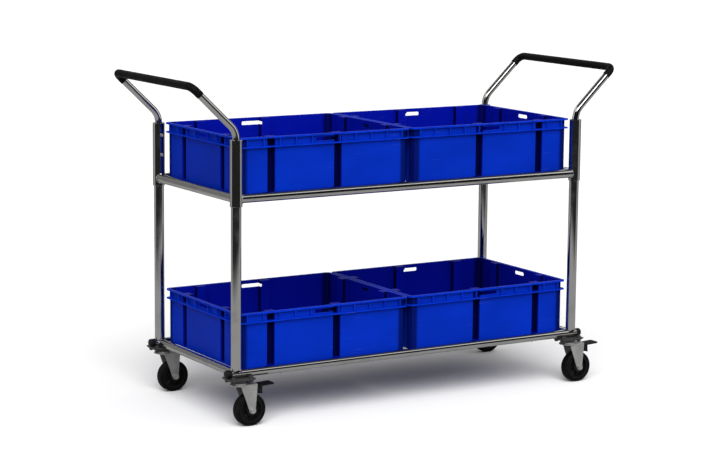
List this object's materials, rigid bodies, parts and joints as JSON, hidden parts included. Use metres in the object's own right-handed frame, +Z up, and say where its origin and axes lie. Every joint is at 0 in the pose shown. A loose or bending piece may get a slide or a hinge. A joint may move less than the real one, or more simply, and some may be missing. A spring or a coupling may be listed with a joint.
{
  "type": "crate trolley",
  "caption": "Two-tier tubular steel trolley carrying open plastic crates, with a slanted push handle at each end and swivel casters, the front ones braked.",
  "frame": {"origin": "on the floor under the middle of the frame", "axes": "+X along the trolley to its right end, +Y to its rear, +Z up"},
  "size_m": [1.5686, 0.586, 1.0499],
  "materials": {
    "chrome_tube": "bright plated tube",
    "black_grip": "thin black sleeve",
    "black_plastic": "moulded black",
    "black_steel": "dark pressed plate",
    "zinc_steel": "zinc plated",
    "bush_plastic": "plain bearing bush",
    "tyre": "smooth black tread",
    "blue_plastic": "moulded royal blue"
  },
  "bodies": {
    "frame": {"upright_front_left": "chrome_tube", "upright_front_right": "chrome_tube", "upright_rear_left": "chrome_tube", "upright_rear_right": "chrome_tube", "socket_front_left": "chrome_tube", "socket_front_right": "chrome_tube", "socket_rear_left": "chrome_tube", "socket_rear_right": "chrome_tube", "handle_left": "chrome_tube", "handle_right": "chrome_tube", "grip_left": "black_grip", "grip_right": "black_grip", "socket_screws": "zinc_steel", "top_front_rail": "chrome_tube", "top_rear_rail": "chrome_tube", "top_left_rail": "chrome_tube", "top_right_rail": "chrome_tube", "top_bearers": "chrome_tube", "bottom_front_rail": "chrome_tube", "bottom_rear_rail": "chrome_tube", "bottom_left_rail": "chrome_tube", "bottom_right_rail": "chrome_tube", "bottom_bearers": "chrome_tube", "rail_end_caps": "black_plastic", "corner_plates": "black_steel", "caster_plate_front_left": "black_steel", "caster_plate_front_right": "black_steel", "caster_plate_rear_left": "black_steel", "caster_plate_rear_right": "black_steel", "kingpins": "zinc_steel", "ball_races": "zinc_steel", "caster_bolts": "black_steel"},
    "swivel_front_left": {"swivel_fork_front_left": "zinc_steel", "axle_bolt_front_left": "zinc_steel", "axle_bush_front_left": "bush_plastic", "brake_pin_front_left": "zinc_steel"},
    "wheel_front_left": {"wheel_core_front_left": "black_plastic", "tyre_front_left": "tyre"},
    "pedal_front_left": {"brake_pedal_front_left": "black_plastic"},
    "swivel_front_right": {"swivel_fork_front_right": "zinc_steel", "axle_bolt_front_right": "zinc_steel", "axle_bush_front_right": "bush_plastic", "brake_pin_front_right": "zinc_steel"},
    "wheel_front_right": {"wheel_core_front_right": "black_plastic", "tyre_front_right": "tyre"},
    "pedal_front_right": {"brake_pedal_front_right": "black_plastic"},
    "swivel_rear_left": {"swivel_fork_rear_left": "zinc_steel", "axle_bolt_rear_left": "zinc_steel", "axle_bush_rear_left": "bush_plastic"},
    "wheel_rear_left": {"wheel_core_rear_left": "black_plastic", "tyre_rear_left": "tyre"},
    "swivel_rear_right": {"swivel_fork_rear_right": "zinc_steel", "axle_bolt_rear_right": "zinc_steel", "axle_bush_rear_right": "bush_plastic"},
    "wheel_rear_right": {"wheel_core_rear_right": "black_plastic", "tyre_rear_right": "tyre"},
    "crate_top_left": {"crate_top_left": "blue_plastic"},
    "crate_top_right": {"crate_top_right": "blue_plastic"},
    "crate_bottom_left": {"crate_bottom_left": "blue_plastic"},
    "crate_bottom_right": {"crate_bottom_right": "blue_plastic"}
  },
  "joints": [
    {"name": "swivel_front_left", "type": "hinge", "parent": "frame", "child": "swivel_front_left", "pos_m": [-0.615, -0.26, 0.13], "axis": [0, 0, 1], "continuous": true},
    {"name": "wheel_spin_front_left", "type": "hinge", "parent": "swivel_front_left", "child": "wheel_front_left", "pos_m": [-0.58, -0.26, 0.05], "axis": [0, 1, 0], "continuous": true},
    {"name": "brake_front_left", "type": "hinge", "parent": "swivel_front_left", "child": "pedal_front_left", "pos_m": [-0.573, -0.26, 0.117], "axis": [0, 1, 0], "range_deg": [0, 15]},
    {"name": "swivel_front_right", "type": "hinge", "parent": "frame", "child": "swivel_front_right", "pos_m": [0.615, -0.26, 0.13], "axis": [0, 0, 1], "continuous": true},
    {"name": "wheel_spin_front_right", "type": "hinge", "parent": "swivel_front_right", "child": "wheel_front_right", "pos_m": [0.65, -0.26, 0.05], "axis": [0, 1, 0], "continuous": true},
    {"name": "brake_front_right", "type": "hinge", "parent": "swivel_front_right", "child": "pedal_front_right", "pos_m": [0.657, -0.26, 0.117], "axis": [0, 1, 0], "range_deg": [0, 15]},
    {"name": "swivel_rear_left", "type": "hinge", "parent": "frame", "child": "swivel_rear_left", "pos_m": [-0.615, 0.26, 0.13], "axis": [0, 0, 1], "continuous": true},
    {"name": "wheel_spin_rear_left", "type": "hinge", "parent": "swivel_rear_left", "child": "wheel_rear_left", "pos_m": [-0.58, 0.26, 0.05], "axis": [0, 1, 0], "continuous": true},
    {"name": "swivel_rear_right", "type": "hinge", "parent": "frame", "child": "swivel_rear_right", "pos_m": [0.615, 0.26, 0.13], "axis": [0, 0, 1], "continuous": true},
    {"name": "wheel_spin_rear_right", "type": "hinge", "parent": "swivel_rear_right", "child": "wheel_rear_right", "pos_m": [0.65, 0.26, 0.05], "axis": [0, 1, 0], "continuous": true},
    {"name": "lift_top_left", "type": "slide", "parent": "frame", "child": "crate_top_left", "axis": [0, 0, 1], "range_m": [0, 0.25]},
    {"name": "lift_top_right", "type": "slide", "parent": "frame", "child": "crate_top_right", "axis": [0, 0, 1], "range_m": [0, 0.25]},
    {"name": "lift_bottom_left", "type": "slide", "parent": "frame", "child": "crate_bottom_left", "axis": [0, 0, 1], "range_m": [0, 0.25]},
    {"name": "lift_bottom_right", "type": "slide", "parent": "frame", "child": "crate_bottom_right", "axis": [0, 0, 1], "range_m": [0, 0.25]}
  ]
}
